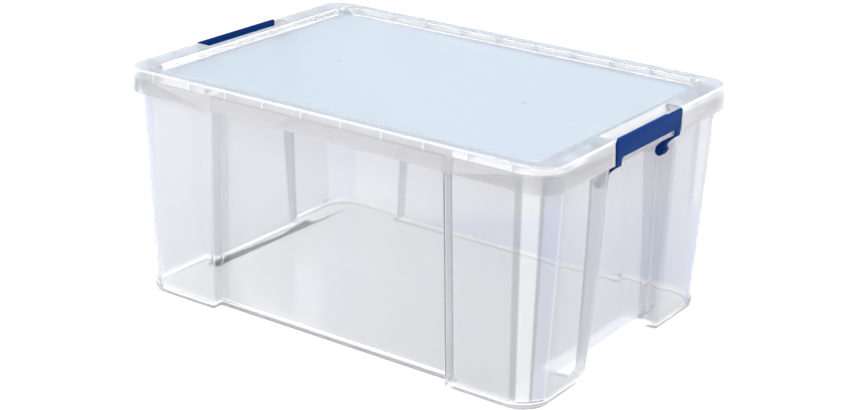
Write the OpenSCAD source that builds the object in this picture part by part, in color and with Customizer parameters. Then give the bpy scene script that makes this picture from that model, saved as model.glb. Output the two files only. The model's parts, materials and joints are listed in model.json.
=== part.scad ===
// Clip-lid storage box: a clear tub with recessed walls, a clear lid whose
// rim drops over the tub, and a hinged clip at each end that holds the lid.
// Origin: centre of the base. X runs along the box, Z is up.

/* [Overall] */
// Length over the lid (X)
lid_l = 640; // [560:5:760]
// Width over the lid (Y)
lid_w = 440; // [380:5:520]
// Height from the base to the top of the lid
total_h = 304; // [240:2:380]

/* [Tub] */
// Wall thickness
wall = 2.2; // [1.8:0.1:3]
// Floor thickness
floor_t = 2.6; // [2:0.1:4]
// Height of the proud lip around the foot of the tub
foot_h = 8; // [4:1:14]
// Half length of the recess in each long wall, under the rim
side_recess = 174; // [100:1:220]
// Depth of the recess in each long wall
side_depth = 17.8; // [8:0.2:22]
// Half width of the recess in each end wall, under the rim
end_recess = 80.7; // [76:0.1:81]

/* [Lid] */
// Depth of the skirt
skirt_h = 31; // [24:1:40]
// Thickness of the lid's skin
lid_t = 1.4; // [1:0.1:1.6]
// Depth of the panel below the rim
panel_drop = 10; // [6:0.5:10]
// Distance between the stiffening ribs in the rim
rib_pitch = 59.5; // [40:0.5:70]

/* [Clips] */
// Half width of a clip
clip_half = 80; // [70:1:80]
// Thickness of the clip's plate
clip_t = 2.3; // [1.8:0.1:2.4]
// Height of the plate above its hand slot
clip_plate_h = 24.5; // [18:0.5:26]
// Radius of the hinge pins
pin_r = 4.5; // [3:0.1:5]

/* [Hidden] */
$fn = 64;

hx_lid = lid_l / 2;
hy_lid = lid_w / 2;
corner_r = 30;              // outer corner of the lid in plan
skin = 2.0;                 // thickness of the lid's flat parts

// heights
z_panel = total_h - panel_drop;
z_rim = z_panel - skin - 0.3;          // top of the tub's flange
flange_t = 2.4;
z_lip = total_h - skirt_h - 1.5;       // lower edge of the tub's lip
z_upright = z_lip - 7;                 // the tub's walls are upright above this
z_pin = total_h - 57.5;                // hinge axis of the clips

// the tub's rim stands 1.8 mm inside the lid's outline
rim_in = 1.8;
rim_x = hx_lid - rim_in;
rim_y = hy_lid - rim_in;
rim_r = corner_r - rim_in;
lip_x = 3.9;                // thickness of the lip at the ends
lip_y = 2.4;                // and along the sides

// the end recess is deeper at the top than at the base
end_depth_top = 26.2;
end_depth_base = 15.9;
tub_r_top = 43;
tub_r_base = 46;
foot_r = 36;                // tighter corner of the foot
foot_out = 2.5;             // how far the foot lip stands in front of the recess

x_pin = hx_lid - 20;        // hinge axis from the centre
pin_gap = 0.08;             // running clearance of the pins
x_plate = hx_lid - 0.8;     // inner face of the clip's plate
ledge_r = 50.8;             // the lid's ledge is an arc about the hinge axis
hook_gap = 0.4;             // the hook clears the ledge by this much
notch_half = clip_half + 1.5;

// ---------- plan outline of the tub ----------

// Half length of the proud end walls: bowed, and upright behind the rim
function end_x(z) = let (u = min(z, z_upright) / (total_h - 43))
    hx_lid - 16.8 + 16.9 * u - 5.3 * u * u;
// Half width of the proud long walls: a straight draft
function side_y(z) = hy_lid - 8.35 + 0.0218 * min(z, z_upright);
function spread(z) = 0.028 * (total_h - 43 - z);
function mixed(a, b, z) = a + (b - a) * z / total_h;

// One quarter of the outline from the X axis round to the Y axis:
// [half length, half width, corner radius, end recess, its depth,
//  side recess, its depth, edge chamfer]
function quarter(p) = let (
        x = p[0], y = p[1], r = p[2], b = p[3], dx = p[4], a = p[5], dy = p[6], e = p[7])
    concat(
        [[x - dx, b - e], [x - dx + e, b], [x - e, b], [x - 0.29 * e, b + 0.29 * e], [x, b + e]],
        [for (i = [0:6]) [x - r + r * cos(15 * i), y - r + r * sin(15 * i)]],
        [[a + e, y], [a + 0.29 * e, y - 0.29 * e], [a, y - e], [a, y - dy + e], [a - e, y - dy]]);
function flip(list) = [for (i = [len(list) - 1:-1:0]) list[i]];
// The whole outline, with a point in the middle of each recess
function outline(p) = let (q = quarter(p), x = p[0] - p[4], y = p[1] - p[6]) concat(
    [[x, 0]], q,
    [[0, y]], flip([for (v = q) [-v[0], v[1]]]),
    [[-x, 0]], [for (v = q) [-v[0], -v[1]]],
    [[0, -y]], flip([for (v = q) [v[0], -v[1]]]));

// Outline at a height, moved inwards by "inset"; foot = 1 inside the foot lip
function level(z, inset, foot) = [
    end_x(z) - inset,
    side_y(z) - inset,
    (foot == 1 ? foot_r : mixed(tub_r_base, tub_r_top, z)) - inset,
    end_recess + spread(z) + inset,
    mixed(end_depth_base, end_depth_top, z) - foot_out * foot,
    side_recess + spread(z) + inset,
    side_depth - foot_out * foot,
    mixed(6, 3, z)];

// A closed solid through a stack of levels: [[z, inset, foot], ...].
// Each end is four fans about points that see a whole quarter of the outline.
module loft(levels) {
    rings = [for (l = levels) outline(level(l[0], l[1], l[2]))];
    n = len(rings[0]);
    m = len(rings);
    quarter_n = n / 4;
    hub_x = (side_recess + end_x(0)) / 2;
    hub_y = (end_recess + side_y(0)) / 2;
    hubs = [[0, 0], [hub_x, hub_y], [-hub_x, hub_y], [-hub_x, -hub_y], [hub_x, -hub_y]];
    points = concat(
        [for (k = [0:m - 1]) for (v = rings[k]) [v[0], v[1], levels[k][0]]],
        [for (k = [0, m - 1]) for (v = hubs) [v[0], v[1], levels[k][0]]]);
    sides = [for (k = [0:m - 2]) for (i = [0:n - 1]) for (half = [0, 1])
        let (j = (i + 1) % n)
        half == 0 ? [k * n + i, (k + 1) * n + i, (k + 1) * n + j]
                  : [k * n + i, (k + 1) * n + j, k * n + j]];
    ends = [for (side = [0, 1]) for (q = [0:3]) let (
            ring = side * (m - 1) * n,
            centre = m * n + side * 5,
            hub = centre + 1 + q,
            first = ring + q * quarter_n,
            last = ring + ((q + 1) * quarter_n) % n,
            fan = concat(
                [for (i = [0:quarter_n - 1])
                    [hub, first + i, ring + (q * quarter_n + i + 1) % n]],
                [[hub, last, centre], [hub, centre, first]]))
        for (t = fan) side == 0 ? t : flip(t)];
    polyhedron(points, concat(sides, ends));
}

// ---------- shared shapes ----------

// Rounded rectangle with true arcs
module plate2d(x, y, r) {
    square([2 * x, 2 * (y - r)], center = true);
    square([2 * (x - r), 2 * y], center = true);
    for (sx = [-1, 1], sy = [-1, 1]) translate([sx * (x - r), sy * (y - r)]) circle(r);
}

// Sweeps a profile round a rounded rectangle. The profile is drawn with its
// x measured outwards from the corner's centre and its y as the height.
module sweep_round(x, y, r) {
    for (k = [0, 1]) mirror([0, k, 0]) for (j = [0, 1]) mirror([j, 0, 0]) {
        translate([x - r, y - r, 0]) rotate_extrude(angle = 90) children();
    }
    for (s = [0, 180]) rotate(s) {
        translate([x - r, y - r, 0]) rotate([90, 0, 0]) linear_extrude(2 * (y - r)) children();
        rotate(90) translate([y - r, x - r, 0]) rotate([90, 0, 0])
            linear_extrude(2 * (x - r)) children();
    }
}

// ---------- tub ----------

module tub_shell() {
    difference() {
        union() {
            loft([[0, 2, 1], [1, 0.6, 1], [3, 0, 1], [foot_h, 0, 1], [foot_h + 1.5, 0, 0],
                [60, 0, 0], [110, 0, 0], [160, 0, 0], [210, 0, 0], [z_upright, 0, 0],
                [z_rim - 0.8, 0, 0]]);
            translate([0, 0, z_rim - flange_t]) linear_extrude(flange_t)
                plate2d(rim_x, rim_y, rim_r);
        }
        loft([[floor_t, wall + 5, 0], [floor_t + 1.4, wall + 2.2, 0],
            [floor_t + 5.5, wall, 0], [60, wall, 0], [110, wall, 0], [160, wall, 0],
            [210, wall, 0], [z_upright, wall, 0], [z_rim + 4, wall, 0]]);
    }
}

// The lip that hangs from the flange's outer edge
module tub_lip() {
    translate([0, 0, z_lip]) linear_extrude(z_rim - 1.5 - z_lip) difference() {
        plate2d(rim_x, rim_y, rim_r);
        plate2d(rim_x - lip_x, rim_y - lip_y, rim_r - lip_y);
    }
}

// Upright ribs that give the hand a grip, in the slot below each clip's plate
module grip_ribs() {
    grip_pitch = 5;
    grip_w = 1.4;
    for (side = [0, 180]) rotate(side) for (i = [-12:12])
        translate([rim_x - 0.8, i * grip_pitch - grip_w / 2, z_lip])
            cube([1.2, grip_w, total_h - clip_plate_h - 1 - z_lip]);
}

module tub() {
    color([0.80, 0.83, 0.92, 0.5]) difference() {
        union() {
            tub_shell();
            tub_lip();
            grip_ribs();
        }
        for (sx = [-1, 1], sy = [-1, 1])
            translate([sx * x_pin, sy * (end_recess + 2), z_pin]) rotate([90, 0, 0])
                cylinder(r = pin_r + pin_gap, h = 16, center = true);
    }
}

// ---------- lid ----------

// Skirt: upright skin that flares 1.5 mm towards its lower edge
module skirt_profile() {
    flare = 1.5;
    soft = 2.5;              // radius of the lid's top edge
    polygon(concat(
        [[corner_r - lid_t + flare, total_h - skirt_h], [corner_r + flare, total_h - skirt_h]],
        [for (a = [0:22.5:90]) [corner_r - soft + soft * cos(a), total_h - soft + soft * sin(a)]],
        [[corner_r - 6, total_h], [corner_r - 6, total_h - skin],
         [corner_r - lid_t, total_h - soft]]));
}

// Sloping wall between the rim's top and the sunken panel
in_x = 290;
in_y = 203;
in_r = 22;
slope = 4.5;
module well_profile() {
    polygon([[in_r, total_h], [in_r - slope, z_panel], [in_r - slope, z_panel - skin],
        [in_r - slope + skin, z_panel - skin], [in_r + skin, total_h - skin],
        [in_r + 5, total_h - skin], [in_r + 5, total_h]]);
}

// Stiffening ribs across the rim channel, resting just above the tub's flange
module lid_ribs() {
    rib_t = 1.5;
    rib_z = z_panel - skin;
    rib_h = panel_drop;
    for (sy = [-1, 1], i = [-4.5:1:4.5])
        translate([i * rib_pitch - rib_t / 2, sy > 0 ? in_y - 1 : -hy_lid + 1, rib_z])
            cube([rib_t, hy_lid - in_y, rib_h + skin - 1]);
    for (sx = [-1, 1], y = [-176, -129, 129, 176])
        translate([sx > 0 ? in_x - 1 : -hx_lid + 1, y - rib_t / 2, rib_z])
            cube([hx_lid - in_x, rib_t, rib_h + skin - 1]);
    for (sx = [-1, 1], sy = [-1, 1])
        translate([sx * (hx_lid - corner_r), sy * (hy_lid - corner_r), rib_z])
            rotate([0, 0, sx * sy > 0 ? sx * 45 : (sx > 0 ? -45 : 135)])
                translate([8, -rib_t / 2, 0]) cube([corner_r - 9, rib_t, rib_h + skin - 1]);
}

// Points on an arc about the hinge axis between two distances from it
function hinge_arc(r, x0, x1, steps) = [for (i = [0:steps])
    let (x = x0 + (x1 - x0) * i / steps) [x_pin + x, z_pin + sqrt(r * r - x * x)]];

// The ledge that the clip's hook bears on, with the ramp down to it
module ledge_profile() {
    ledge_t = 1.6;
    far = 18.3;
    polygon(concat(
        [[x_pin - 5, total_h], [x_pin - 3, total_h]],
        hinge_arc(ledge_r, 3, far, 6),
        hinge_arc(ledge_r - ledge_t, far, 1.6, 6),
        [[x_pin - 5, total_h - skin]]));
}

module notch_seat() {
    rotate([90, 0, 0]) linear_extrude(2 * notch_half + 3, center = true) ledge_profile();
    for (sy = [-1, 1]) translate([x_pin - 4, sy * (notch_half + 0.8) - 0.8, z_panel - skin])
        cube([hx_lid - x_pin + 3.2, 1.6, panel_drop + skin - 0.5]);
}

module lid() {
    color([0.75, 0.83, 0.92, 0.6]) {
        difference() {
            union() {
                sweep_round(hx_lid, hy_lid, corner_r) skirt_profile();
                sweep_round(in_x, in_y, in_r) well_profile();
                translate([0, 0, total_h - skin]) linear_extrude(skin) difference() {
                    plate2d(hx_lid - 4, hy_lid - 4, corner_r - 4);
                    plate2d(in_x + 3, in_y + 3, in_r + 3);
                }
                translate([0, 0, z_panel - skin]) linear_extrude(skin)
                    plate2d(in_x - slope + 1, in_y - slope + 1, in_r - slope + 1);
                lid_ribs();
            }
            for (sx = [-1, 1]) translate([sx * (x_pin + 17), 0, total_h - 15])
                cube([40, 2 * notch_half, 60], center = true);
        }
        notch_seat();
        mirror([1, 0, 0]) notch_seat();
    }
}

// ---------- clips ----------

// Face of the clip: a plate with two arms that straddle the hand slot
module clip_face() {
    arm_in = 62;
    arm_out = clip_half - 3;
    foot_z = total_h - 36;
    soft = 4;
    polygon(concat(
        [for (a = [0:22.5:90]) [clip_half - soft + soft * cos(a), total_h - soft + soft * sin(a)]],
        [for (a = [90:22.5:180]) [-clip_half + soft + soft * cos(a), total_h - soft + soft * sin(a)]],
        [[-arm_out, foot_z], [-arm_in, foot_z]],
        [for (a = [180:-22.5:90]) [-arm_in + soft + soft * cos(a),
            total_h - clip_plate_h - soft + soft * sin(a)]],
        [for (a = [90:-22.5:0]) [arm_in - soft + soft * cos(a),
            total_h - clip_plate_h - soft + soft * sin(a)]],
        [[arm_in, foot_z], [arm_out, foot_z]]));
}

// Side view of an arm, from the plate down to the hinge boss
module arm_profile() {
    difference() {
        union() {
            polygon([[x_plate + clip_t, total_h - 30], [x_plate + clip_t, total_h - 38],
                [x_pin + 5, z_pin - 6], [x_pin - 6, z_pin + 4],
                [x_plate - 1.6, z_lip - 0.8], [x_plate, z_lip - 0.8], [x_plate, total_h - 30]]);
            translate([x_pin, z_pin]) circle(8);
        }
        // hollows between the boss's lobes
        for (a = [200, 250, 300]) translate([x_pin + 9 * cos(a), z_pin + 9 * sin(a)])
            circle(1.8, $fn = 24);
    }
}

module clip() {
    color([0.13, 0.25, 0.50]) {
        translate([x_plate, 0, 0]) rotate([90, 0, 90]) linear_extrude(clip_t) clip_face();
        // hook over the lid's ledge
        rotate([90, 0, 0]) linear_extrude(120, center = true) polygon(concat(
            hinge_arc(ledge_r + hook_gap, 9.5, x_plate - x_pin + 0.5, 5),
            hinge_arc(ledge_r + hook_gap + 2, x_plate - x_pin + 0.5, 9.5, 5)));
        for (sy = [-1, 1]) {
            translate([0, sy * 70.5 + 7, 0]) rotate([90, 0, 0]) linear_extrude(14) arm_profile();
            translate([x_pin, sy * (end_recess - 1), z_pin]) rotate([90, 0, 0])
                cylinder(r = pin_r, h = 11, center = true);
        }
    }
}

module clip_right() { clip(); }
module clip_left() { mirror([1, 0, 0]) clip(); }

tub();
lid();
clip_right();
clip_left();
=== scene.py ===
# %% [markdown]
# A clip-lid storage box: a clear tub, a clear lid and two navy clips. The CAD
# frame holds every size, mount and hinge. This lesson builds the looks around
# it: each moulding is rebuilt as one smooth closed shell, because clear plastic
# only bends light properly where its walls are closed and nothing overlaps.

# %% Load the frame
import json
import math

import bmesh
import bpy
import numpy as np
from mathutils import Matrix, Vector


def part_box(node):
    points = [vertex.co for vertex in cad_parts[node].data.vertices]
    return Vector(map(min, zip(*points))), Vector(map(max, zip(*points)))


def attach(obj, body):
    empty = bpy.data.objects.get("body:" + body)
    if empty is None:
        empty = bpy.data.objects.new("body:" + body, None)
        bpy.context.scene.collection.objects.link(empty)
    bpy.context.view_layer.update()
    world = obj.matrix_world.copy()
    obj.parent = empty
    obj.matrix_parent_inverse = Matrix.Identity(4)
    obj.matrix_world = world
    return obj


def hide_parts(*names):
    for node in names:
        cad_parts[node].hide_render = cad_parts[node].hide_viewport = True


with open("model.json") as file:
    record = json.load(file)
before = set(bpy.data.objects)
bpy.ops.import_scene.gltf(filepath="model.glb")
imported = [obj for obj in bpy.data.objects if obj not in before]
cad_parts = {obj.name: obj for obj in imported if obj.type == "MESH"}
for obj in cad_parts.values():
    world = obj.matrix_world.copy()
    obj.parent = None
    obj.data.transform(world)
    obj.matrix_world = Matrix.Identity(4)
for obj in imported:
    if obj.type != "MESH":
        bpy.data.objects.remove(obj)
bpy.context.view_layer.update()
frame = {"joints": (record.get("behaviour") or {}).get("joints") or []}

# %% [markdown]
# Sizes come from the frame where it has them: the lid's box gives the length,
# width and height, and each hinge gives its axis. Mould sizes that a box can't
# tell, such as wall thickness and corner radii, are named here once, in
# millimetres, and every outline below is worked out from them.

# %% Sizes in millimetres
MM = 0.001
FLARE = 1.5                                   # the skirt leans out this much
lid_low, lid_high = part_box("lid")
half_x = lid_high[0] / MM - FLARE
half_y = lid_high[1] / MM - FLARE
top_z = lid_high[2] / MM
skirt_z = lid_low[2] / MM
rim_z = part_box("tub")[1][2] / MM
hinges = {j["child"]: j["pos_m"] for j in frame["joints"] if j["type"] == "hinge"}
pin_x = hinges["clip_right"][0] / MM
pin_z = hinges["clip_right"][2] / MM

corner = 30.0                                 # lid corner in plan
skin = 2.0                                    # flat parts of the lid
skirt_t = 1.4
panel_z = top_z - 10.0
rib_pitch = 59.5                              # between the ribs in the lid's rim
wall = 2.2
floor_t = 2.6
flange_t = 2.4
lip_z = skirt_z - 1.5                         # lower edge of the tub's lip
upright_z = lip_z - 7.0                       # the walls lean out up to here
lid_gap = 1.8                                 # from the lid's edge in to the tub's lip
rim_x, rim_y, rim_r = half_x - lid_gap, half_y - lid_gap, corner - lid_gap
print("lid", round(half_x * 2), "x", round(half_y * 2), "mm, top at", round(top_z))

# %% [markdown]
# The camera stands in front of the long side, a third of the way round to the
# right-hand end, and looks down on the lid with a long lens, tipped by a degree
# or so. It is placed first, so that every later step can be judged through it.

# %% Camera
azimuth, elevation, tip = (math.radians(angle) for angle in (34.68, 20.80, 1.44))
stand = (1.2487, -1.7930, 0.6511 + top_z * MM)
back = Vector((math.sin(azimuth) * math.cos(elevation),
               -math.cos(azimuth) * math.cos(elevation), math.sin(elevation)))
level_right = Vector((math.cos(azimuth), math.sin(azimuth), 0))
level_up = back.cross(level_right)
right = level_right * math.cos(tip) + level_up * math.sin(tip)
up = level_up * math.cos(tip) - level_right * math.sin(tip)
lens_data = bpy.data.cameras.new("camera")
lens_data.sensor_width = 36.0
lens_data.lens = 74.87
lens_data.clip_start, lens_data.clip_end = 0.05, 60.0
camera = bpy.data.objects.new("camera", lens_data)
turn = Matrix((right, up, back)).transposed().to_4x4()
camera.matrix_world = Matrix.Translation(stand) @ turn
bpy.context.scene.collection.objects.link(camera)
bpy.context.scene.camera = camera
print("camera at", [round(v, 3) for v in camera.location])

# %% [markdown]
# Two helpers make meshes. One turns a stack of closed rings into a skin: each
# ring has the same number of points, neighbours are joined by quads, and the
# first and last rings are closed by a flat face. The other pushes a flat
# outline along an axis. Where points meet, doubles are merged, and edges
# sharper than the given angle stay crisp.

# %% Mesh helpers
DOUBLE, SPECK = 2e-6, 1e-6                    # closer points and shorter edges go, in metres


def finish_mesh(obj, sharp_deg=38.0):
    """Cleans a mesh, turns its faces outwards and shades it smooth."""
    mesh = obj.data
    bm = bmesh.new()
    bm.from_mesh(mesh)
    bmesh.ops.remove_doubles(bm, verts=bm.verts, dist=DOUBLE)
    bmesh.ops.dissolve_degenerate(bm, edges=bm.edges, dist=SPECK)
    bmesh.ops.recalc_face_normals(bm, faces=bm.faces)
    open_edges = sum(1 for e in bm.edges if not e.is_manifold)
    bm.to_mesh(mesh)
    bm.free()
    mesh.shade_smooth()
    mesh.set_sharp_from_angle(angle=math.radians(sharp_deg))
    print(obj.name, len(mesh.polygons), "faces,", open_edges, "open edges")
    return obj


def new_object(name, points, faces):
    """Points are in millimetres."""
    mesh = bpy.data.meshes.new(name)
    mesh.from_pydata((np.asarray(points, float) * MM).tolist(), [], faces)
    obj = bpy.data.objects.new(name, mesh)
    bpy.context.scene.collection.objects.link(obj)
    return obj


def ring_shell(name, rings):
    n = len(rings[0])
    faces = []
    for k in range(len(rings) - 1):
        for i in range(n):
            j = (i + 1) % n
            faces.append((k * n + i, k * n + j, (k + 1) * n + j, (k + 1) * n + i))
    faces.append(tuple(range(n)))
    faces.append(tuple(range((len(rings) - 1) * n, len(rings) * n)))
    return finish_mesh(new_object(name, np.vstack(rings), faces))


def prism(name, outline, axis, low, high):
    """A flat outline pushed along one axis. It holds the other two, in X, Y, Z order."""
    n = len(outline)
    points = []
    for along in sorted((low, high)):
        for a, b in outline:
            points.append({"x": (along, a, b), "y": (a, along, b), "z": (a, b, along)}[axis])
    faces = [tuple(range(n)), tuple(range(n, 2 * n))]
    faces += [(i, (i + 1) % n, n + (i + 1) % n, n + i) for i in range(n)]
    return finish_mesh(new_object(name, points, faces))


def arc(cx, cy, r, start, end, steps):
    """Points on an arc, with the angles in degrees."""
    return [(cx + r * math.cos(math.radians(t)), cy + r * math.sin(math.radians(t)))
            for t in np.linspace(start, end, steps + 1)]

# %% [markdown]
# Objects are cut and joined with Boolean modifiers, and given fine rounded
# edges with Bevel modifiers. Both are baked into a plain mesh straight away,
# so that a finished piece carries no live modifier.

# %% Modifier helpers
def bake(obj):
    """Replaces an object's mesh by what its modifiers make of it."""
    graph = bpy.context.evaluated_depsgraph_get()
    made = bpy.data.meshes.new_from_object(obj.evaluated_get(graph))
    obj.modifiers.clear()
    obj.data = made
    return obj


def combine(obj, others, how):
    """Cuts or joins closed shapes exactly, and removes the tools."""
    for other in others:
        step = obj.modifiers.new(how, "BOOLEAN")
        step.operation = how
        step.solver = "EXACT"
        step.object = other
    bake(obj)
    for other in others:
        bpy.data.objects.remove(other)
    return finish_mesh(obj)


def soften(obj, width_mm, segments=3, limit_deg=30.0):
    """Rounds the edges of a small part."""
    step = obj.modifiers.new("edges", "BEVEL")
    step.width = width_mm * MM
    step.segments = segments
    step.limit_method = "ANGLE"
    step.angle_limit = math.radians(limit_deg)
    step.use_clamp_overlap = True
    return finish_mesh(bake(obj), 50.0)


def join(name, objects):
    """Puts several meshes into one object."""
    bm = bmesh.new()
    for obj in objects:
        bm.from_mesh(obj.data)
    mesh = bpy.data.meshes.new(name)
    bm.to_mesh(mesh)
    bm.free()
    for obj in objects:
        bpy.data.objects.remove(obj)
    whole = bpy.data.objects.new(name, mesh)
    bpy.context.scene.collection.objects.link(whole)
    return whole

# %% [markdown]
# Seen from above, the tub is a rounded rectangle with a wide shallow recess in
# each long wall and a deep narrow one in each end wall. One quarter of that
# outline is written down as straight runs and arcs; mirroring gives the rest.
# Each point remembers whether it lies on an end, a corner or a side, so that a
# plain rounded rectangle with matching points can be made for the rim.

# %% Plan outline of the tub
WALL_TOP = top_z - 43.0                       # where an end wall has leaned out in full
END_IN, END_LEAN, END_BOW = 16.8, 16.9, 5.3   # end wall: set back, lean, and its curve
SIDE_IN, SIDE_LEAN = 8.35, 0.0218             # long wall: set back, lean per mm of height
CORNER_R = (46.0, 43.0)                       # low and high on the wall, as are the next pairs
END_RECESS = (15.9, 26.2)
END_RECESS_R = (6.0, 3.0)
END_RECESS_HALF, SIDE_RECESS_HALF = 80.7, 174.0
SIDE_RECESS, SIDE_RECESS_R = 17.8, 2.6
RECESS_SPREAD = 0.028                         # recesses widen downwards, per mm of height
FOOT_R, FOOT_OUT = 36.0, 2.5                  # foot: its corners, how far it fills recesses


def end_x(z):
    u = min(z, upright_z) / WALL_TOP
    return half_x - END_IN + END_LEAN * u - END_BOW * u * u


def side_y(z):
    return half_y - SIDE_IN + SIDE_LEAN * min(z, upright_z)


def mixed(pair, z):
    base, top = pair
    return base + (top - base) * z / top_z


ARC_STEPS = 6
CORNER_STEPS = 18


def quarter(x, y, r, b, dx, a, dy, ends_r, sides_r):
    """
    Points from the X axis round to the Y axis. x, y and r are the corner's, b and
    dx the half width and depth of the end recess, a and dy those of the long one.
    """
    inner_r = min(ends_r, dx - ends_r - 0.2)
    pts = [(x - dx, 0.0)]
    pts += arc(x - dx + inner_r, b - inner_r, inner_r, 180, 90, ARC_STEPS)
    pts += arc(x - ends_r, b + ends_r, ends_r, -90, 0, ARC_STEPS)
    pts += arc(x - r, y - r, r, 0, 90, CORNER_STEPS)
    pts += arc(a + sides_r, y - sides_r, sides_r, 90, 180, ARC_STEPS)
    pts += arc(a - sides_r, y - dy + sides_r, sides_r, 0, -90, ARC_STEPS)
    pts += [(0.0, y - dy)]
    return np.array(pts)


def all_round(q):
    """Mirrors a quarter into the whole ring, leaving the shared axis points single."""
    flip_x, flip_y = np.array([-1, 1]), np.array([1, -1])
    return np.vstack([q[:-1], (q * flip_x)[::-1][:-1], (q * -1)[:-1], (q * flip_y)[::-1][:-1]])


def tub_ring(z, inset=0.0, foot=False):
    spread = RECESS_SPREAD * (WALL_TOP - z)
    out = FOOT_OUT if foot else 0.0
    r = FOOT_R if foot else mixed(CORNER_R, z)
    q = quarter(end_x(z) - inset, side_y(z) - inset, r - inset,
                END_RECESS_HALF + spread + inset, mixed(END_RECESS, z) - out,
                SIDE_RECESS_HALF + spread + inset, SIDE_RECESS - out,
                mixed(END_RECESS_R, z) - 0.35 * inset, SIDE_RECESS_R)
    ring = all_round(q)
    return np.column_stack([ring, np.full(len(ring), z)])


END_N = 1 + 2 * (ARC_STEPS + 1)               # points on an end and on a side of a quarter
QUARTER_N = 2 * END_N + CORNER_STEPS + 1
SPOT = np.arange(QUARTER_N)
END_SPOTS = SPOT < END_N
SIDE_SPOTS = SPOT >= END_N + CORNER_STEPS + 1
print("points in a ring of the tub:", len(tub_ring(100.0)))

# %% [markdown]
# The rim is a plain rounded rectangle. Its points copy the tub's points along
# each straight run and sit at the same angles round each corner, so the flange
# can be spun straight from the wall outline to the rim outline.

# %% Plain outlines that match the tub's points
TOUCH = 0.002                                 # less room than this, and a ring is held


def rim_ring(z, x, y, r):
    q = tub_ring(upright_z)[:QUARTER_N, :2].copy()
    q[END_SPOTS, 0] = x
    q[END_SPOTS, 1] = np.minimum(q[END_SPOTS, 1], y - r)
    q[SIDE_SPOTS, 1] = y
    q[SIDE_SPOTS, 0] = np.minimum(q[SIDE_SPOTS, 0], x - r)
    q[~END_SPOTS & ~SIDE_SPOTS] = arc(x - r, y - r, r, 0, 90, CORNER_STEPS)
    ring = all_round(q)
    return np.column_stack([ring, np.full(len(ring), z)])


def outside_of(ring, limit):
    """Keeps a ring from going inside another, and says where it was held."""
    normal = ring[:, :2] - limit[:, :2]
    centre_out = limit[:, :2] / np.array([half_x, half_y]) ** 2
    held = np.einsum("ij,ij->i", normal, centre_out) <= TOUCH
    ring = ring.copy()
    ring[held, :2] = limit[held, :2]
    return ring, held


print("points in a ring of the rim:", len(rim_ring(rim_z, rim_x, rim_y, rim_r)))

# %% [markdown]
# The tub is one closed skin, drawn the way a finger would run over it: from the
# middle of the floor up the inside, over the flange, down the outside of the
# lip, back up behind it, down the outer wall and under the foot. On the
# proud panels the lip lies on the wall itself, so there the space behind it
# closes up and the rings meet. A ring close to each end of a curve keeps the
# smooth shading of the flat part next to it flat, or it would bend the light.

# %% Tub shell
FILLET = 6.0                                  # where the floor turns up into the walls
LIP_R, LIP_T = 1.2, 2.4                       # the lip's rounding and thickness


def lip_ring(z, inset):
    return rim_ring(z, rim_x - inset, rim_y - inset, rim_r - inset)


rings = [tub_ring(floor_t, wall + 16.0), tub_ring(floor_t, wall + FILLET + 0.8)]
for t in np.radians(np.linspace(0, 90, 8)):
    rings.append(tub_ring(floor_t + FILLET * (1 - math.cos(t)),
                          wall + FILLET * (1 - math.sin(t))))
for z in np.linspace(30, rim_z - 1.0, 14):
    rings.append(tub_ring(z, wall))
rings.append(tub_ring(rim_z - 0.3, wall - 0.3))
rings.append(tub_ring(rim_z, wall - 0.9))
for t in np.radians(np.linspace(90, 0, 4)):
    rings.append(lip_ring(rim_z - LIP_R + LIP_R * math.sin(t), LIP_R - LIP_R * math.cos(t)))
rings.append(lip_ring(lip_z + 0.4, 0.0))
rings.append(lip_ring(lip_z, 0.4))
behind, held = outside_of(rim_ring(lip_z, rim_x - LIP_T - 1.5, rim_y - LIP_T, rim_r - LIP_T),
                          tub_ring(lip_z))
rings.append(behind.copy())
behind[:, 2] = np.where(held, lip_z, rim_z - flange_t)
rings.append(behind)
wall_top = tub_ring(rim_z - flange_t)
wall_top[:, 2] = np.where(held, lip_z, rim_z - flange_t)
rings.append(wall_top)
for z in (*np.linspace(upright_z, 24, 14), 14.0, 9.8):
    rings.append(tub_ring(z))
for z, inset in ((8.6, 0.3), (8.1, 0.0), (2.0, 0.0), (1.0, 0.3), (0.3, 1.0), (0.0, 2.2),
                 (0.0, 2.9), (0.0, 12.0)):
    rings.append(tub_ring(z, inset, foot=True))
tub = ring_shell("tub_shell", rings)

# %% [markdown]
# The clips' pins run in holes in the side walls of the end recesses. A cylinder
# is cut through each wall on the hinge axis.

# %% Pin holes
HOLE_R = 4.6
HOLE_LOW, HOLE_HIGH = 76, 90                  # each drill's two ends in Y


def cylinder(name, x, y_low, y_high, z, r, steps=40):
    return prism(name, arc(x, z, r, 0, 360 - 360 / steps, steps - 1), "y", y_low, y_high)


drills = [cylinder(f"drill{sx}{sy}", sx * pin_x, sy * HOLE_LOW, sy * HOLE_HIGH, pin_z, HOLE_R)
          for sx in (1, -1) for sy in (1, -1)]
combine(tub, drills, "DIFFERENCE")

# %% [markdown]
# The lid is swept the same way, but its outline is a plain rounded rectangle
# all the way up. Its cross-section is a short list of corners, and each corner
# is rounded by a curve between its two neighbours: the panel turns up into a
# sloping wall, over the rim, and down the flaring skirt.

# %% Lid shell
def rounded_rect(x, y, r, z, steps=12):
    q = arc(x - r, y - r, r, 0, 90, steps)
    pts = q + [(-px, py) for px, py in reversed(q)]
    pts += [(-px, -py) for px, py in q] + [(px, -py) for px, py in reversed(q)]
    return np.array([(px, py, z) for px, py in pts])


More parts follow.
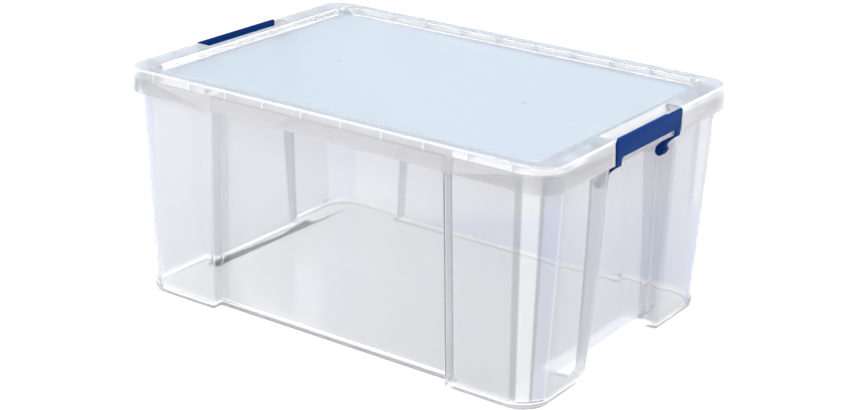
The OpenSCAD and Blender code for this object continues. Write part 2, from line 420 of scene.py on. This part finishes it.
def rounded_path(corners, steps=4):
    """corners: (x, y, r, z, rounding). Each is replaced by a smooth curve."""
    path = []
    for i, c in enumerate(corners):
        v = np.array(c[:4])
        if c[4] == 0:
            path.append(v)
            continue
        before = np.array(corners[i - 1][:4]) - v
        after = np.array(corners[i + 1][:4]) - v
        a = v + before * c[4] / np.hypot(before[0], before[3])
        b = v + after * c[4] / np.hypot(after[0], after[3])
        for t in np.linspace(0, 1, steps + 1):
            path.append(a * (1 - t) ** 2 + v * 2 * t * (1 - t) + b * t ** 2)
    return path


well_x, well_y, well_r, well_slope = 290.0, 203.0, 22.0, 4.5   # the sunken panel's walls
foot_x, foot_y, foot_r = well_x - well_slope, well_y - well_slope, well_r - well_slope
under = top_z - skin
lid_path = rounded_path([
    (foot_x - 12, foot_y - 12, foot_r - 8, panel_z, 0),
    (foot_x, foot_y, foot_r, panel_z, 2.2),
    (well_x, well_y, well_r, top_z, 1.8),
    (half_x, half_y, corner, top_z, 2.6),
    (half_x + FLARE, half_y + FLARE, corner + FLARE, skirt_z, 0.6),
    (half_x + FLARE - skirt_t, half_y + FLARE - skirt_t, corner + 0.1, skirt_z, 0.5),
    (half_x - skirt_t, half_y - skirt_t, corner - skirt_t, under, 1.2),
    (well_x + skin, well_y + skin, well_r + skin, under, 1.0),
    (foot_x + skin, foot_y + skin, foot_r + skin, panel_z - skin, 1.0),
    (foot_x - 12, foot_y - 12, foot_r - 8, panel_z - skin, 0)])
lid = ring_shell("lid_shell", [rounded_rect(*p) for p in lid_path])

# %% [markdown]
# At each end the rim is cut away for the clip, and a ledge is put back that
# slopes down from the rim. Its top follows an arc about the hinge axis, so the
# clip's hook can swing over it without touching.

# %% Clip notches in the lid
NOTCH = 81.5                                  # half the notch's width
LEDGE_R, LEDGE_T = 50.8, 1.6                  # the ledge's arc about the hinge
CHEEK_T = 1.6                                 # the notch's side walls
CLEAR = 9.0                                   # a cutter reaches past what it cuts


def hinge_arc(r, x0, x1, steps, sx=1):
    """Points at a distance r from the hinge axis; x0 and x1 count from the pin."""
    return [(sx * (pin_x + x), pin_z + math.sqrt(r * r - x * x))
            for x in np.linspace(x0, x1, steps + 1)]


def upright_box(x0, x1, z0, z1):
    low, high = sorted((x0, x1))
    return [(low, z0), (high, z0), (high, z1), (low, z1)]


cutters, seats = [], []
for sx, side in ((1, "right"), (-1, "left")):
    cutters.append(prism(f"cut_{side}", upright_box(
        sx * (pin_x - 3), sx * (half_x + 10), skirt_z - CLEAR, top_z + CLEAR), "y", -NOTCH, NOTCH))
    ledge = ([(sx * (pin_x - 6), top_z - 0.05), (sx * (pin_x - 3), top_z - 0.05)]
             + hinge_arc(LEDGE_R, 3, 18.3, 10, sx) + hinge_arc(LEDGE_R - LEDGE_T, 18.3, 1.6, 10, sx)
             + [(sx * (pin_x - 6), under + 0.1)])
    seats.append(prism(f"ledge_{side}", ledge, "y", -NOTCH - 1.5, NOTCH + 1.5))
    for sy in (1, -1):
        seats.append(prism(f"cheek_{side}{sy}", upright_box(
            sx * (pin_x - 4), sx * (half_x - 0.9), panel_z - skin, top_z - 0.6),
            "y", sy * (NOTCH - 0.1), sy * (NOTCH + CHEEK_T)))
combine(lid, cutters, "DIFFERENCE")
combine(lid, seats, "UNION")

# %% [markdown]
# The lid's rim is stiffened by thin walls across its channel, and the tub's
# lip by fine upright ribs under each clip. Both are one thin block repeated at
# an even pitch along a line, which is a job for Geometry Nodes: the tree takes
# the number, the pitch and the block's size, and turns one line of points into
# a row of blocks.

# %% A Geometry Nodes row of ribs
def rib_row_tree():
    tree = bpy.data.node_groups.new("rib_row", "GeometryNodeTree")
    face = tree.interface
    face.new_socket("Geometry", in_out="OUTPUT", socket_type="NodeSocketGeometry")
    for name, kind in (("Count", "Int"), ("First", "Vector"), ("Step", "Vector"),
                       ("Size", "Vector"), ("Material", "Material")):
        face.new_socket(name, in_out="INPUT", socket_type="NodeSocket" + kind)
    node, link = tree.nodes.new, tree.links.new
    inputs, outputs = node("NodeGroupInput"), node("NodeGroupOutput")
    line = node("GeometryNodeMeshLine")
    link(inputs.outputs["Count"], line.inputs["Count"])
    link(inputs.outputs["First"], line.inputs["Start Location"])
    link(inputs.outputs["Step"], line.inputs["Offset"])
    block = node("GeometryNodeMeshCube")
    link(inputs.outputs["Size"], block.inputs["Size"])
    place = node("GeometryNodeInstanceOnPoints")
    link(line.outputs["Mesh"], place.inputs["Points"])
    link(block.outputs["Mesh"], place.inputs["Instance"])
    real = node("GeometryNodeRealizeInstances")
    link(place.outputs["Instances"], real.inputs["Geometry"])
    paint = node("GeometryNodeSetMaterial")
    link(real.outputs["Geometry"], paint.inputs["Geometry"])
    link(inputs.outputs["Material"], paint.inputs["Material"])
    link(paint.outputs["Geometry"], outputs.inputs["Geometry"])
    return tree


rib_tree = rib_row_tree()
rib_ids = {s.name: s.identifier for s in rib_tree.interface.items_tree if s.in_out == "INPUT"}


def rib_row(name, count, first, step, size, material):
    """Sizes and places in millimetres."""
    obj = new_object(name, [(0, 0, 0)], [])
    grow = obj.modifiers.new("row", "NODES")
    grow.node_group = rib_tree
    grow[rib_ids["Count"]] = count
    for socket, value in (("First", first), ("Step", step), ("Size", size)):
        grow[rib_ids[socket]] = [v * MM for v in value]
    grow[rib_ids["Material"]] = material
    return bake(obj)


print("a row of ribs takes", ", ".join(rib_ids))

# %% [markdown]
# Clear polypropylene isn't quite clear: it has a cool milky tint, a soft gloss
# and faint flow marks from the mould. All three finishes share one node group
# that makes the marks, a broad ripple and a fine grain, from Object
# coordinates. The group gives out a bump and a mask, and each material decides
# how much of them to use.

# %% Moulded surface group
def moulded_group():
    tree = bpy.data.node_groups.new("moulded_surface", "ShaderNodeTree")
    face = tree.interface
    for name, default in (("Ripple Scale", 9.0), ("Grain Scale", 900.0), ("Ripple Depth", 0.3),
                          ("Grain Depth", 0.02)):
        face.new_socket(name, in_out="INPUT", socket_type="NodeSocketFloat").default_value = default
    face.new_socket("Mask", in_out="OUTPUT", socket_type="NodeSocketFloat")
    face.new_socket("Normal", in_out="OUTPUT", socket_type="NodeSocketVector")
    node, link = tree.nodes.new, tree.links.new
    inputs, outputs = node("NodeGroupInput"), node("NodeGroupOutput")
    coords = node("ShaderNodeTexCoord")
    ripple = node("ShaderNodeTexNoise")
    ripple.inputs["Detail"].default_value = 2.0
    grain = node("ShaderNodeTexNoise")
    grain.inputs["Detail"].default_value = 1.0
    link(coords.outputs["Object"], ripple.inputs["Vector"])
    link(coords.outputs["Object"], grain.inputs["Vector"])
    link(inputs.outputs["Ripple Scale"], ripple.inputs["Scale"])
    link(inputs.outputs["Grain Scale"], grain.inputs["Scale"])
    broad, fine = node("ShaderNodeBump"), node("ShaderNodeBump")
    broad.inputs["Distance"].default_value = 0.004
    fine.inputs["Distance"].default_value = 0.0004
    link(ripple.outputs["Fac"], broad.inputs["Height"])
    link(inputs.outputs["Ripple Depth"], broad.inputs["Strength"])
    link(grain.outputs["Fac"], fine.inputs["Height"])
    link(inputs.outputs["Grain Depth"], fine.inputs["Strength"])
    link(broad.outputs["Normal"], fine.inputs["Normal"])
    link(fine.outputs["Normal"], outputs.inputs["Normal"])
    link(ripple.outputs["Fac"], outputs.inputs["Mask"])
    return tree


moulded = moulded_group()


def plastic(name, rough, colour=(1.0, 1.0, 1.0), clear=0.0, ior=1.49, ripple=9.0,
            ripple_depth=0.3, grain_depth=0.02, gloss=0.5):
    """rough is the least and the most roughness that the mask moves between."""
    mat = bpy.data.materials.new(name)
    mat.use_nodes = True
    tree = mat.node_tree
    shader = tree.nodes["Principled BSDF"]
    shader.inputs["Base Color"].default_value = (*colour, 1.0)
    shader.inputs["IOR"].default_value = ior
    shader.inputs["Specular IOR Level"].default_value = gloss
    shader.inputs["Transmission Weight"].default_value = clear
    marks = tree.nodes.new("ShaderNodeGroup")
    marks.node_tree = moulded
    marks.inputs["Ripple Scale"].default_value = ripple
    marks.inputs["Ripple Depth"].default_value = ripple_depth
    marks.inputs["Grain Depth"].default_value = grain_depth
    spread = tree.nodes.new("ShaderNodeMapRange")
    spread.inputs["To Min"].default_value, spread.inputs["To Max"].default_value = rough
    tree.links.new(marks.outputs["Mask"], spread.inputs["Value"])
    tree.links.new(spread.outputs["Result"], shader.inputs["Roughness"])
    tree.links.new(marks.outputs["Normal"], shader.inputs["Normal"])
    return mat


clear_tub = plastic("clear_tub", (0.015, 0.05), clear=0.82, ripple_depth=0.12)
clear_lid = plastic("clear_lid", (0.02, 0.06), clear=0.74, ripple=6.0, ripple_depth=0.05)
navy = plastic("navy_clip", (0.45, 0.55), colour=(0.006, 0.038, 0.178), ripple=30.0,
               ripple_depth=0.1, grain_depth=0.25, gloss=0.02)
print("finishes:", clear_tub.name, clear_lid.name, navy.name)

# %% [markdown]
# The painted light and shade vary over a moulding, so they are worked out from
# where a point lies on it. A few helpers turn its coordinates into masks and
# blend colours by them. They are given lengths in millimetres.

# %% Helpers for masks and tints
WHITE, BLACK = (1.0, 1.0, 1.0), (0.0, 0.0, 0.0)


def maths(tree, how, *values):
    step = tree.nodes.new("ShaderNodeMath")
    step.operation = how
    for socket, value in zip(step.inputs, values):
        if isinstance(value, (int, float)):
            socket.default_value = value
        else:
            tree.links.new(value, socket)
    return step.outputs[0]


def product(tree, mask, *others):
    for other in others:
        mask = maths(tree, "MULTIPLY", mask, other)
    return mask


def axis_of(tree, name):
    axes = tree.nodes.new("ShaderNodeSeparateXYZ")
    tree.links.new(tree.nodes.new("ShaderNodeTexCoord").outputs["Object"], axes.inputs["Vector"])
    return axes.outputs[name]


def size_of(tree, name):
    return maths(tree, "ABSOLUTE", axis_of(tree, name))


def plan_distance(tree, x, y):
    """How far a point lies beyond the given half sizes, in X and in Y."""
    return [maths(tree, "SUBTRACT", size_of(tree, name), half * MM)
            for name, half in (("X", x), ("Y", y))]


def fade(tree, value, start, end):
    """0 at start and 1 at end, which may be the smaller one."""
    step = tree.nodes.new("ShaderNodeMapRange")
    step.inputs["From Min"].default_value = start * MM
    step.inputs["From Max"].default_value = end * MM
    tree.links.new(value, step.inputs["Value"])
    return step.outputs["Result"]


def ramp(tree, factor, stops):
    step = tree.nodes.new("ShaderNodeValToRGB")
    while len(step.color_ramp.elements) < len(stops):
        step.color_ramp.elements.new(0.5)
    for element, (place, colour) in zip(step.color_ramp.elements, stops):
        element.position = place
        element.color = (*colour, 1.0)
    tree.links.new(factor, step.inputs["Fac"])
    return step.outputs["Color"]


def blended(tree, factor, first, second):
    step = tree.nodes.new("ShaderNodeMix")
    step.data_type = "RGBA"
    tree.links.new(factor, step.inputs[0])
    for socket, value in ((step.inputs[6], first), (step.inputs[7], second)):
        if isinstance(value, tuple):
            socket.default_value = (*value, 1.0)
        else:
            tree.links.new(value, socket)
    return step.outputs[2]


def glow(mat, mask, colour):
    """Painted light: the plastic glows faintly where the mask is 1, though it is no lamp and too
    weak to count as one.
    """
    tree = mat.node_tree
    sockets = tree.nodes["Principled BSDF"].inputs
    tree.links.new(blended(tree, mask, BLACK, colour), sockets["Emission Color"])
    sockets["Emission Strength"].default_value = 1.0
    mat.cycles.emission_sampling = "NONE"

# %% [markdown]
# The lid's large flat panel has a satin finish. Its cool blue is a painted
# reflection, the white band on the slope up to the rim is a painted highlight,
# and the rim's top is greyed with painted shade, with a darker painted shade
# line at its inner edge. One ramp runs across the slope between them. The
# skirt is white near the top and at the rounded edge, a painted highlight, and
# darker lower down with painted shade. The notches for the clips are white and
# satin too.

# %% Painted light and polish of the lid
SLOPE_X, SLOPE_Y, SLOPE_SPAN = 286.5, 199.5, 10.0
PANEL_ROUGH, NOTCH_ROUGH = 0.36, 0.4
# painted light: a blue painted reflection, a grey painted shade line, the rim top greyed with
# painted shade, the lower skirt darker with painted shade
panel_reflection_blue, rim_shade_line, rim_top_shade = (0.79, 0.87, 0.96), (0.66, 0.71, 0.78), (0.75, 0.80, 0.865)
skirt_low_shade = (0.91, 0.905, 0.92)

lid_tree = clear_lid.node_tree
lid_sockets = lid_tree.nodes["Principled BSDF"].inputs
beyond_x, beyond_y = plan_distance(lid_tree, SLOPE_X, SLOPE_Y)
across_slope = maths(lid_tree, "MULTIPLY_ADD", maths(lid_tree, "MAXIMUM", beyond_x, beyond_y),
                     1 / (SLOPE_SPAN * MM), 0.5)
# across the slope: the panel's painted reflection, a white painted highlight, then painted shade on
# the rim
rim_light_and_shade = ramp(lid_tree, across_slope, [(0.30, panel_reflection_blue), (0.42, WHITE), (0.78, WHITE),
                                         (0.83, rim_shade_line), (0.95, rim_top_shade)])

round_x, round_y = plan_distance(lid_tree, half_x - corner, half_y - corner)
squares = [maths(lid_tree, "POWER", maths(lid_tree, "MAXIMUM", v, 0.0), 2.0)
           for v in (round_x, round_y)]
reach = maths(lid_tree, "SQRT", maths(lid_tree, "ADD", *squares))
lid_height = axis_of(lid_tree, "Z")
# skirt and rounded edge: a white painted highlight near the top, painted shade lower down
skirt_light_and_shade = blended(lid_tree, fade(lid_tree, lid_height, top_z - 16, top_z - 10), skirt_low_shade, WHITE)
rounded_edge = fade(lid_tree, reach, corner - 3.2, corner - 2.2)
lid_light_and_shade = blended(lid_tree, rounded_edge, rim_light_and_shade, skirt_light_and_shade)
in_notch = product(lid_tree, fade(lid_tree, beyond_x, 9.5, 10.5),
                   fade(lid_tree, beyond_y, NOTCH - SLOPE_Y + 1.5, NOTCH - SLOPE_Y + 0.5))
lid_tree.links.new(blended(lid_tree, in_notch, lid_light_and_shade, WHITE), lid_sockets["Base Color"])

satin = lid_tree.nodes.new("ShaderNodeMapRange")
satin.inputs["To Min"].default_value = PANEL_ROUGH
polish = lid_sockets["Roughness"].links[0].from_socket
lid_tree.links.new(across_slope, satin.inputs["Value"])
lid_tree.links.new(polish, satin.inputs["To Max"])
rough_notch = maths(lid_tree, "MULTIPLY", in_notch, NOTCH_ROUGH)
lid_tree.links.new(maths(lid_tree, "MAXIMUM", satin.outputs["Result"], rough_notch),
                   lid_sockets["Roughness"])
print("lid tint runs from", SLOPE_X - SLOPE_SPAN / 2, "to", SLOPE_X + SLOPE_SPAN / 2, "mm")

# %% [markdown]
# Thin glowing lines are painted highlights. They stand in for the light that
# clear plastic carries along inside it and lets out at its edges: the lid's
# rounded edge glows, and so does the skirt wherever a rib meets it from behind,
# at the ribs' own pitch.

# %% Painted highlights glowing on the lid's edge and ribs
RIB_GLOW = 0.9
rim_glow_highlight = product(lid_tree, fade(lid_tree, reach, corner - 2.8, corner - 1.8),
                    fade(lid_tree, lid_height, top_z - 3.0, top_z - 1.6))
share = maths(lid_tree, "FRACT", maths(lid_tree, "DIVIDE", axis_of(lid_tree, "X"), rib_pitch * MM))
off_rib = maths(lid_tree, "MULTIPLY", maths(lid_tree, "ABSOLUTE", maths(
    lid_tree, "SUBTRACT", share, 0.5)), rib_pitch * MM)
rib_glow_line = product(lid_tree, fade(lid_tree, off_rib, 1.3, 0.6),
                   fade(lid_tree, size_of(lid_tree, "Y"), half_y - 1.0, half_y - 0.5),
                   fade(lid_tree, lid_height, panel_z - skin, panel_z - skin + 2.0))
# painted highlights: the rim edge and the rib lines glow by emission
lit = maths(lid_tree, "MAXIMUM", rim_glow_highlight, maths(lid_tree, "MULTIPLY", rib_glow_line, RIB_GLOW))
glow(clear_lid, lit, (0.17, 0.17, 0.18))
print("rib lines every", rib_pitch, "mm")

# %% [markdown]
# Round each corner column of the tub, upright bands of painted shade and
# painted highlight stand in for the way the clear walls bend the light; they
# lie at fixed angles about the corner's centre. They are clearest at the
# right-hand end and fade to an even tone at the left. The back wall is cooler
# below a slanting line, a painted reflection of the blue of the lid's panel.
# Near the foot the walls turn white with painted light.

# %% Painted shade and highlight bands of the tub
CENTRE_X, CENTRE_Y = 268.0, 172.0             # of a corner column, in plan
LEFT_TO_RIGHT = (-220, 220)                   # from the calm tone to the banded one
BACK_Y = (150, 170)
SLANT, SLANT_Z = 0.285, (62, 40)
FOOT_Z = (12, 6)
# tones of the painted bands: dark, dimmer and shady are painted shade; white, bright and cool are
# painted highlights and reflections
plain, dimmer, shady = (0.94, 0.94, 0.965), (0.81, 0.81, 0.835), (0.77, 0.775, 0.81)
cool, dark, bright = (0.76, 0.79, 0.86), (0.64, 0.64, 0.67), (0.84, 0.865, 0.94)
back_wall_reflection_tint = (0.76, 0.80, 0.90)

tub_tree = clear_tub.node_tree
past_x, past_y = plan_distance(tub_tree, CENTRE_X, CENTRE_Y)
# the least values are unequal, so that the floor takes the last colour of each ramp
turned = maths(tub_tree, "ARCTAN2", maths(tub_tree, "MAXIMUM", past_y, 3e-4),
               maths(tub_tree, "MAXIMUM", past_x, 1e-5))
angle = maths(tub_tree, "DIVIDE", turned, math.pi / 2)
banded = ramp(tub_tree, angle, [
    (0.0, shady), (0.14, shady), (0.16, WHITE), (0.18, cool), (0.46, cool), (0.475, dark),
    (0.52, dark), (0.55, WHITE), (0.80, WHITE), (0.84, dark), (0.93, dark), (0.97, dimmer)])
calm = ramp(tub_tree, angle, [(0.14, shady), (0.20, bright), (0.91, bright), (0.94, plain)])
along, across, height = (axis_of(tub_tree, name) for name in "XYZ")
walls = blended(tub_tree, fade(tub_tree, along, *LEFT_TO_RIGHT), calm, banded)
# painted reflection of the lid's blue panel on the lower back wall
below_slant = fade(tub_tree, maths(tub_tree, "MULTIPLY_ADD", along, -SLANT, height), *SLANT_Z)
back_wall_reflection_mask = product(tub_tree, fade(tub_tree, across, *BACK_Y), below_slant)
walls = blended(tub_tree, back_wall_reflection_mask, walls, back_wall_reflection_tint)
# painted light: the walls turn white towards the foot
near_foot = fade(tub_tree, height, *FOOT_Z)
tub_tree.links.new(blended(tub_tree, near_foot, walls, WHITE),
                   tub_tree.nodes["Principled BSDF"].inputs["Base Color"])
print("bands run round", CENTRE_X, CENTRE_Y, "mm")

# %% [markdown]
# The foot glows with painted light, which stands in for the light that the
# tub's plastic carries out at its foot. It glows all round except at the back,
# and the floor's margin at the right-hand end glows pale too.

# %% Painted light glowing in the foot
FOOT_SHARE, FRONT_SHARE = 0.4, 0.5
FRONT_Y, REAR_Y = (-191, -192), (170, 120)
MARGIN_IN, MARGIN_OUT = (245, 251), (290, 286)   # in X
MARGIN_Z, MARGIN_Y = (16, 10), (104, 94)
MARGIN_MORE, MARGIN_LEAST = 0.6, 0.15         # extra beside the recess, and everywhere

front_foot = fade(tub_tree, across, *FRONT_Y)
over_floor = maths(tub_tree, "MAXIMUM", fade(tub_tree, height, floor_t + 0.02, floor_t + 0.2),
                   maths(tub_tree, "MULTIPLY", front_foot, FRONT_SHARE))
foot_light = product(tub_tree, near_foot, over_floor, fade(tub_tree, across, *REAR_Y))
# painted light on the floor's margin at the right-hand end
beside = maths(tub_tree, "MULTIPLY_ADD", fade(tub_tree, size_of(tub_tree, "Y"), *MARGIN_Y),
               MARGIN_MORE, MARGIN_LEAST)
margin = product(tub_tree, fade(tub_tree, along, *MARGIN_IN), fade(tub_tree, along, *MARGIN_OUT),
                 fade(tub_tree, height, *MARGIN_Z), beside)
lit = maths(tub_tree, "MAXIMUM", maths(tub_tree, "MULTIPLY", foot_light, FOOT_SHARE), margin)
glow(clear_tub, lit, (0.26, 0.26, 0.275))
print("nodes in the tub's finish:", len(tub_tree.nodes))

# %% [markdown]
# With the finish made, the rows of ribs can be grown. The lid's ribs stand
# between the sloping wall and the skirt, and stop just above the tub's flange.

# %% Ribs of the lid and grip ribs of the tub
END_RIBS_Y, END_PITCH = (-176.0, 129.0), 47.0
GRIPS, GRIP_Y, GRIP_PITCH = 25, -60, 5.0
rib_t = 1.5
rib_h = under - (panel_z - skin) - 0.1
rib_mid = panel_z - skin + rib_h / 2
rows = []
for sy in (1, -1):
    depth = half_y - skirt_t - well_y - 2.2
    middle = sy * (well_y + 2.1 + depth / 2)
    rows.append(rib_row(f"side_ribs{sy}", 10, (-4.5 * rib_pitch, middle, rib_mid),
                        (rib_pitch, 0, 0), (rib_t, depth, rib_h), clear_lid))
for sx in (1, -1):
    depth = half_x - skirt_t - well_x - 2.2
    middle = sx * (well_x + 2.1 + depth / 2)
    for y in END_RIBS_Y:
        rows.append(rib_row(f"end_ribs{sx}{y}", 2, (middle, y, rib_mid), (0, END_PITCH, 0),
                            (depth, rib_t, rib_h), clear_lid))
lid_ribs = finish_mesh(join("lid_ribs", rows))

grips = [rib_row(f"grip{sx}", GRIPS, (sx * (rim_x + 0.35), GRIP_Y, lip_z + 3.6),
                 (0, GRIP_PITCH, 0), (0.6, 1.4, 6.4), clear_tub) for sx in (1, -1)]
grip_ribs = finish_mesh(join("grip_ribs", grips))

# %% [markdown]
# A small raised dot marks each place where the plastic was injected. Each is a
# low dome with a ring round it, spun from a short profile.

# %% Gate marks on the lid
GATE_X = 144.0
# radius and height of each ring, from the tip out and back under
GATE = [(0.4, 1.3), (1.5, 1.1), (2.0, 0.2), (3.2, 0.12), (3.8, 0.02), (0.3, 0.02)]


def spun(name, x, profile, steps=24):
    """Turns a profile about an upright axis; its heights are above the panel."""
    turn = np.linspace(0, 2 * math.pi, steps, endpoint=False)
    return ring_shell(name, [np.column_stack([x + r * np.cos(turn), r * np.sin(turn),
                                              np.full(steps, panel_z + z)]) for r, z in profile])


gate_marks = join("gate_marks", [spun(f"gate{sx}", sx * GATE_X, GATE) for sx in (1, -1)])
print("gate marks at", -GATE_X, "and", GATE_X, "mm")

# %% [markdown]
# A clip is one navy moulding: a plate that bridges the hand slot, a hook that
# reaches over the lid's ledge, and two arms that bend in under the lip to the
# hinge pins. It is opaque, so its parts may overlap. Each is pushed from an
# outline, given rounded edges, and joined.

# %% Clips
CLIP_HALF, CLIP_T, CLIP_R = 80.0, 2.3, 4.0
HOOK_HALF, HOOK_T, HOOK_GAP = 60.0, 2.0, 0.4
ARM_IN, ARM_OUT = 66.0, 77.5                  # an arm's two sides, from the middle
PIN_R, PIN_END = 4.5, 85.2
BOSS_R, LOBE_R, LOBE_AT = 5.8, 1.7, 4.3
plate_x = half_x - 0.8
slot_z = top_z - 24.5
arm_foot = top_z - 34.5


def clip_face():
    """The plate with its two short legs, seen from the end."""
    r = CLIP_R
    pts = arc(CLIP_HALF - r, top_z - r, r, 0, 90, 6) + arc(-CLIP_HALF + r, top_z - r, r, 90, 180, 6)
    pts += [(-ARM_OUT, arm_foot), (-ARM_IN, arm_foot)]
    pts += arc(-ARM_IN + r, slot_z - r, r, 180, 90, 6) + arc(ARM_IN - r, slot_z - r, r, 90, 0, 6)
    return pts + [(ARM_IN, arm_foot), (ARM_OUT, arm_foot)]


def arm_side(sx):
    """An arm from the side: it leaves the plate, runs in under the lip and ends in a lobed boss."""
    pts = [(plate_x + 1.5, arm_foot + 2), (plate_x + 1.2, arm_foot), (plate_x - 2, arm_foot - 2.2),
           (pin_x + 10.6, pin_z + 14.5), (pin_x + 6.9, pin_z + 10.2), (pin_x + 5.6, pin_z + 6.5)]
    for start in (25, -28, -82):
        lobe = math.radians(start)
        pts += arc(pin_x + LOBE_AT * math.cos(lobe), pin_z + LOBE_AT * math.sin(lobe),
                   LOBE_R, start + 62, start - 62, 4)
    pts += arc(pin_x, pin_z, BOSS_R, 250, 165, 8)
    pts += [(pin_x - 4.2, pin_z + 6.6), (pin_x + 1.8, pin_z + 13.2), (pin_x + 10.6, pin_z + 19.0),
            (plate_x - 2.4, lip_z - 1.8), (plate_x, lip_z - 0.8), (plate_x + 0.6, lip_z - 0.5)]
    return [(sx * x, z) for x, z in pts]


def clip(name, sx):
    plate = prism(name + "_plate", clip_face(), "x", sx * plate_x, sx * (plate_x + CLIP_T))
    tip, root = 9.5, plate_x - pin_x + 0.5
    hook = (hinge_arc(LEDGE_R + HOOK_GAP, tip, root, 6, sx)
            + hinge_arc(LEDGE_R + HOOK_GAP + HOOK_T, root, tip, 6, sx))
    parts = [soften(plate, 0.5),
             soften(prism(name + "_hook", hook, "y", -HOOK_HALF, HOOK_HALF), 0.4)]
    for sy in (1, -1):
        parts.append(soften(prism(f"{name}_arm{sy}", arm_side(sx), "y",
                                  sy * (ARM_IN + 0.5), sy * (ARM_OUT - 0.5)), 0.5))
        parts.append(soften(cylinder(f"{name}_pin{sy}", sx * pin_x, sy * (ARM_OUT - 2),
                                     sy * PIN_END, pin_z, PIN_R), 0.6))
    return join(name, parts)


clip_pieces = {"clip_right": clip("clip_right_body", 1), "clip_left": clip("clip_left_body", -1)}
for piece in clip_pieces.values():
    print(piece.name, len(piece.data.polygons), "faces")

# %% [markdown]
# Every piece now rides on its CAD body and stands for its CAD node, whose own
# mesh is hidden, and takes one of the three finishes.

# %% Finishes and bodies
for material, pieces in ((clear_tub, (tub, grip_ribs)), (clear_lid, (lid, lid_ribs, gate_marks)),
                         (navy, clip_pieces.values())):
    for piece in pieces:
        piece.data.materials.clear()
        piece.data.materials.append(material)
        print(piece.name, "in", material.name)
for piece in (tub, grip_ribs):
    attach(piece, "tub")
for piece in (lid, lid_ribs, gate_marks):
    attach(piece, "lid")
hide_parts("tub")
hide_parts("lid")
for node, piece in clip_pieces.items():
    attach(piece, node)
    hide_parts(node)

# %% [markdown]
# Clear things are lit by what surrounds them. The floor glows a little, like a
# light table, so that the walls are bright from below, and it runs on far
# enough to fill every view.

# %% Stage
FLOOR_HALF, FLOOR_Z = 40000, -0.5             # millimetres
FLOOR_GREY, FLOOR_GLOW = 0.22, 0.98


def light_table(name, value, strength):
    mat = bpy.data.materials.new(name)
    mat.use_nodes = True
    sockets = mat.node_tree.nodes["Principled BSDF"].inputs
    sockets["Base Color"].default_value = (value, value, value, 1)
    sockets["Roughness"].default_value = 0.9
    sockets["Specular IOR Level"].default_value = 0.1
    sockets["Emission Color"].default_value = (1, 1, 1, 1)
    sockets["Emission Strength"].default_value = strength
    return mat


floor = new_object("floor", [(sx * FLOOR_HALF, sy * FLOOR_HALF, FLOOR_Z)
                             for sx, sy in ((-1, -1), (1, -1), (1, 1), (-1, 1))], [(0, 1, 2, 3)])
floor.data.materials.append(light_table("pale_floor", FLOOR_GREY, FLOOR_GLOW))
print("floor", 2 * FLOOR_HALF * MM, "m wide")

# %% [markdown]
# The room is graded: brightest up to the left, where the large window of a
# studio would be, and dimmer to the right. That gradient is what gives the
# clear walls their tone. Light has to pass many thin walls, so it may bend more
# often than usual. Three large soft lamps add the highlights.

# %% Light
TOWARD_WINDOW = (-0.65, -0.20, 0.42)
GRADE = {"From Min": -0.35, "From Max": 0.9, "To Min": 0.40, "To Max": 1.00}
BENDS = 24

scene = bpy.context.scene
scene.view_settings.view_transform = "Standard"
scene.cycles.max_bounces = BENDS
scene.cycles.transmission_bounces = BENDS

world = bpy.data.worlds.new("studio")
world.use_nodes = True
room = world.node_tree
sky = room.nodes["Background"]
sky.inputs["Color"].default_value = (0.98, 0.985, 1.0, 1.0)
facing = room.nodes.new("ShaderNodeTexCoord")
toward = room.nodes.new("ShaderNodeVectorMath")
toward.operation = "DOT_PRODUCT"
toward.inputs[1].default_value = TOWARD_WINDOW
grade = room.nodes.new("ShaderNodeMapRange")
for socket, value in GRADE.items():
    grade.inputs[socket].default_value = value
room.links.new(facing.outputs["Generated"], toward.inputs[0])
room.links.new(toward.outputs["Value"], grade.inputs["Value"])
room.links.new(grade.outputs["Result"], sky.inputs["Strength"])
scene.world = world


def softbox(name, place, aim, size, power):
    data = bpy.data.lights.new(name, "AREA")
    data.shape = "RECTANGLE"
    data.size, data.size_y = size
    data.energy = power
    lamp = bpy.data.objects.new(name, data)
    lamp.location = place
    lamp.rotation_euler = (Vector(place) - Vector(aim)).to_track_quat("Z", "Y").to_euler()
    scene.collection.objects.link(lamp)
    print(name, power, "W at", place)


softbox("key", (-1.6, -1.1, 2.6), (0, 0, 0.15), (2.0, 0.8), 70.0)
softbox("side", (1.4, 0.4, 2.5), (0.2, 0, 0.3), (1.0, 1.0), 26.0)
softbox("back", (1.0, 2.3, 1.75), (0, 0, 0.25), (1.6, 0.7), 45.0)
